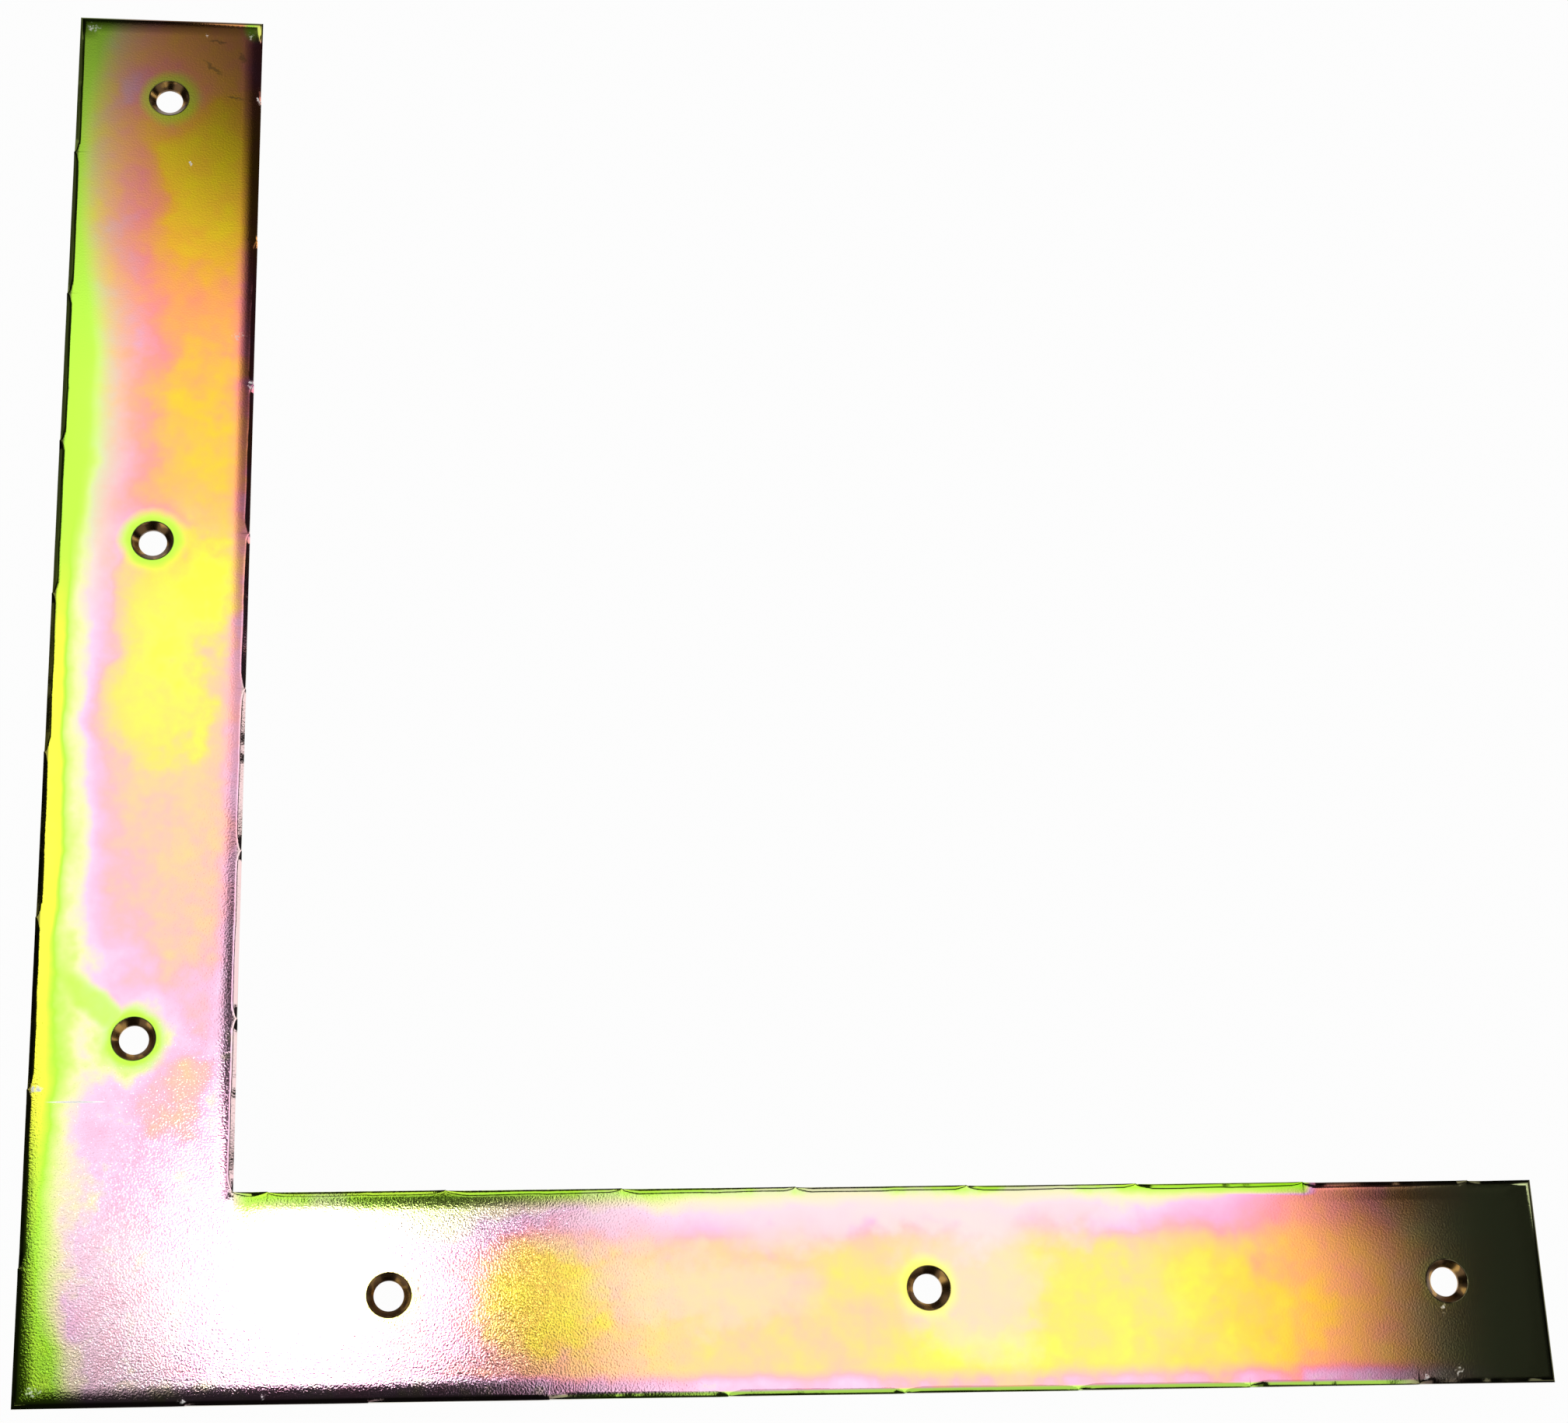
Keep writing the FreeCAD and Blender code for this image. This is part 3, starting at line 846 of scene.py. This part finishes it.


# the face's film with its painted sheen, the painted shade and brass glints inside the countersinks, the
# painted shade on rims and rolled edges, the dull colour of the sheared walls
def plateColour():
    group, given, result = makeGroup("plateColour", ["Vector"], ["Colour", "Inside hole", "Worn"])
    vector = given.outputs[0]
    thickness, depth, ring, paintedSheen = placeGroup(group, "filmThickness", vector)
    left, lower, fromHole = placeGroup(group, "plateDistances", vector)[:3]
    split = group.nodes.new("ShaderNodeSeparateXYZ")
    group.links.new(vector, split.inputs[0])
    height = compute(group, "MULTIPLY", split.outputs[2], 1000)
    deeper = group.nodes.new("ShaderNodeGamma")
    group.links.new(placeGroup(group, "filmColour", thickness)[0], deeper.inputs[0])
    group.links.new(depth, deeper.inputs[1])
    inside, paintedGlint, outline = holeShares(group, vector, fromHole)
    paintedEdgeShade, lowerLine = edgeShares(group, left, lower)
    onWall = compute(group, "MULTIPLY", turn(group, height, "wallTop"), turn(group, height, "wallFoot"))
    cloudy = compute(group, "MULTIPLY", noise(group, vector, 9), 14)
    farEnd = turn(group, compute(group, "ADD", left, cloudy), "farEnd")
    bare, crease = placeGroup(group, "handlingMarks", vector)
    onUpright, onLying = (compute(group, "MULTIPLY", ring, turn(group, left, name))
                          for name in ("offUpright", "ringOnLying"))
    colour = deeper.outputs[0]
    for share, other in ((paintedSheen, film["pale"]),
                         (onUpright, film["rings"]["upright"]), (onLying, film["rings"]["lying"]),
                         (farEnd, film["farEnd"]), (paintedEdgeShade, film["paintedEdgeShade"]),
                         (lowerLine, film["lowerLine"]), (crease, film["crease"]), (bare, film["bare"]),
                         (onWall, film["wall"]), (inside, film["paintedCountersinkShade"]), (paintedGlint, film["paintedGlint"]),
                         (outline, film["outline"])):
        mix = group.nodes.new("ShaderNodeMix")
        mix.data_type = "RGBA"
        group.links.new(share, mix.inputs[0])
        group.links.new(colour, mix.inputs[6])
        mix.inputs[7].default_value = (*other, 1)
        colour = mix.outputs[2]
    for socket, value in zip(result.inputs, (colour, inside, compute(group, "MAXIMUM", onWall, bare))):
        group.links.new(value, socket)


def addMaterial():
    material = bpy.data.materials.new("yellow_chromate")
    material.use_nodes = True
    tree = material.node_tree
    shader = tree.nodes["Principled BSDF"]
    for make in (plateDistances, cloud, slantedCloud, handlingMarks, filmThickness, filmColour, plateColour,
                 rolledGrain):
        make()
    place = tree.nodes.new("ShaderNodeTexCoord").outputs["Object"]
    colour, insideHole, worn = placeGroup(tree, "plateColour", place)
    tree.links.new(colour, shader.inputs["Base Color"])
    bump = tree.nodes.new("ShaderNodeBump")
    bump.inputs["Distance"].default_value = surface["grainHeight"]
    tree.links.new(placeGroup(tree, "rolledGrain", place)[0], bump.inputs["Height"])
    tree.links.new(bump.outputs[0], shader.inputs["Normal"])
    shader.inputs["Metallic"].default_value = 1
    roughness = blend(tree, worn, surface["roughness"], surface["wornRoughness"])
    roughness = blend(tree, insideHole, roughness, surface["countersinkRoughness"])
    tree.links.new(roughness, shader.inputs["Roughness"])
    return material


brace.data.materials.clear()
brace.data.materials.append(addMaterial())
print("finish made")


# Floor, lamps, world and camera

ground = {
    "size": 6,
    "place": (0.13, 0.13, -0.0002),
    "colour": (0.85, 0.85, 0.85, 1),
    "whiteShare": 0.97,                    # how plain a white it shows to the rays that look at it
}


def addFloor():
    deselectAll()
    bpy.ops.mesh.primitive_plane_add(size=ground["size"], location=ground["place"])
    floor = bpy.context.object
    floor.name = "floor"
    material = bpy.data.materials.new("white_floor")
    material.use_nodes = True
    tree = material.node_tree
    tree.nodes.clear()
    output = tree.nodes.new("ShaderNodeOutputMaterial")
    mix = tree.nodes.new("ShaderNodeMixShader")
    diffuse = tree.nodes.new("ShaderNodeBsdfDiffuse")
    glow = tree.nodes.new("ShaderNodeEmission")
    diffuse.inputs["Color"].default_value = ground["colour"]
    # plain white for the rays that look at it, and some of the plate's shadow
    path = tree.nodes.new("ShaderNodeLightPath")
    seen = compute(tree, "MAXIMUM", path.outputs["Is Camera Ray"], path.outputs["Is Glossy Ray"])
    seen = compute(tree, "MAXIMUM", seen, path.outputs["Is Transmission Ray"])
    tree.links.new(compute(tree, "MULTIPLY", seen, ground["whiteShare"]), mix.inputs[0])
    tree.links.new(diffuse.outputs[0], mix.inputs[1])
    tree.links.new(glow.outputs[0], mix.inputs[2])
    tree.links.new(mix.outputs[0], output.inputs["Surface"])
    floor.data.materials.append(material)


light = {
    "flashTowards": (-0.020, 0.124),       # the flash's direction: so far east and north for each unit up
    "flashStrength": 0.06,
    "flashAngle": 4.6,                     # degrees across
    "horizon": 0.7,
    "horizonSpan": (0.06, 0.14, 1.0, 0.0),  # how far up the glow of the horizon reaches
    "betweenPanels": 0.012,
    # soft-edged panels in the directions that the plate mirrors: where each starts, is full, fades
    # and ends, eastward and northward, then its level
    "panels": [
        ((-0.33, -0.27, -0.02, 0.02), (0.30, 0.40, 0.55, 0.61), 0.21),      # far ceiling
        ((-0.33, -0.27, 0.310, 0.373), (-0.10, -0.05, 0.42, 0.565), 1.5),   # ceiling
        ((-1.20, -1.10, -0.142, -0.096), (-1.20, -1.10, 0.090, 0.142), 0.05),
        ((-1.20, -1.10, -0.168, -0.138), (-1.20, -1.10, 0.105, 0.135), 0.02),
        ((-1.20, -1.10, -0.205, -0.165), (-1.20, -1.10, 0.15, 0.20), 0.03),
        ((-1.20, -1.10, -0.235, -0.190), (0.32, 0.40, 1.10, 1.20), 0.02),
        ((-1.20, -1.10, 0.060, 0.095), (-1.20, -1.10, 0.030, 0.065), 0.02),
        ((-0.10, -0.05, 0.030, 0.075), (-0.40, -0.30, 0.14, 0.18), 0.06),   # who holds the flash
        ((-0.12, -0.07, 0.048, 0.085), (-0.40, -0.30, 0.078, 0.118), 0.02),
        ((-0.046, 0.010, 0.05, 0.10), (0.15, 0.19, 0.57, 0.60), 0.95),      # the stand beside it
        ((-0.030, 0.000, 0.045, 0.085), (0.150, 0.165, 0.24, 0.30), 0.04),
        ((0.310, 0.360, 1.10, 1.20), (0.115, 0.145, 0.20, 0.24), 0.03),     # dark door
        ((0.345, 0.396, 0.46, 0.50), (-0.10, -0.05, 0.17, 0.20), 0.022),
        ((-0.110, -0.030, 1.10, 1.20), (0.44, 0.53, 0.57, 0.60), 0.10),     # dark shelf
        ((-0.048, 0.022, 1.10, 1.20), (0.30, 0.47, 0.57, 0.60), 0.02),
        ((0.31, 0.345, 1.10, 1.20), (0.26, 0.30, 0.57, 0.60), 0.02),
        ((0.48, 0.54, 1.10, 1.20), (0.15, 0.17, 0.29, 0.32), 1.3),          # east wall
        ((-0.042, -0.030, 0.30, 0.34), (0.60, 0.64, 0.90, 0.95), 1.2),      # north wall
        ((0.08, 0.13, 0.345, 0.36), (-0.86, -0.78, -0.10, -0.06), 0.9),     # window to the south
        ((-1.20, -1.10, -0.62, -0.52), (0.28, 0.36, 0.56, 0.62), 0.25),     # west wall
        ((-1.20, -1.10, -0.48, -0.36), (-1.20, -1.10, -0.36, -0.24), 1.0),  # corners of the room
        ((0.42, 0.50, 1.10, 1.20), (0.60, 0.66, 1.10, 1.20), 1.0),
        ((0.42, 0.50, 1.10, 1.20), (-1.20, -1.10, -0.36, -0.24), 0.8),
        ((-1.20, -1.10, -0.50, -0.40), (0.52, 0.58, 1.10, 1.20), 0.8),
    ],
}


# 1 between full and fades, 0 before the start and after the end
def softSpan(tree, value, span):
    start, full, fades, end = span
    fading = remap(tree, value, fades, end, 1.0, 0.0)
    return compute(tree, "MULTIPLY", remap(tree, value, start, full), fading)


# the room that the plate mirrors, and plain white behind everything for the camera
def addWorld():
    world = bpy.data.worlds.new("studio")
    scene.world = world
    world.use_nodes = True
    tree = world.node_tree
    background = tree.nodes["Background"]
    split = tree.nodes.new("ShaderNodeSeparateXYZ")
    tree.links.new(tree.nodes.new("ShaderNodeTexCoord").outputs["Generated"], split.inputs[0])
    east, north, up = split.outputs
    mirrored = light["betweenPanels"]
    for across, along, level in light["panels"]:
        share = compute(tree, "MULTIPLY", softSpan(tree, east, across), softSpan(tree, north, along))
        mirrored = blend(tree, share, mirrored, level)
    mirrored = blend(tree, remap(tree, up, *light["horizonSpan"]), mirrored, light["horizon"])
    path = tree.nodes.new("ShaderNodeLightPath")
    level = blend(tree, path.outputs["Is Camera Ray"], mirrored, 1.0)
    tree.links.new(level, background.inputs["Strength"])
    background.inputs["Color"].default_value = (1, 1, 1, 1)


def addFlash():
    deselectAll()
    towards = Vector((*light["flashTowards"], 1)).normalized()
    bpy.ops.object.light_add(type="SUN", location=towards * 0.6)
    flash = bpy.context.object
    flash.name = "flash"
    flash.rotation_euler = towards.to_track_quat("Z", "Y").to_euler()
    flash.data.energy = light["flashStrength"]
    flash.data.angle = math.radians(light["flashAngle"])


camera = {
    "place": (0.04739, -0.06343, 0.53502),
    "turn": (18.894, -5.922, -1.476),      # degrees
    "lens": 62.66,
    "shift": (0.072, 0.0),
}


def addCamera():
    deselectAll()
    turn = [math.radians(angle) for angle in camera["turn"]]
    bpy.ops.object.camera_add(location=camera["place"], rotation=turn)
    eye = bpy.context.object
    eye.data.lens = camera["lens"]
    eye.data.sensor_width = 36
    eye.data.shift_x, eye.data.shift_y = camera["shift"]
    eye.data.clip_start = 0.01
    eye.data.clip_end = 50
    scene.camera = eye


addFloor()
addWorld()
addFlash()
addCamera()
scene.view_settings.view_transform = "Standard"

print("done")
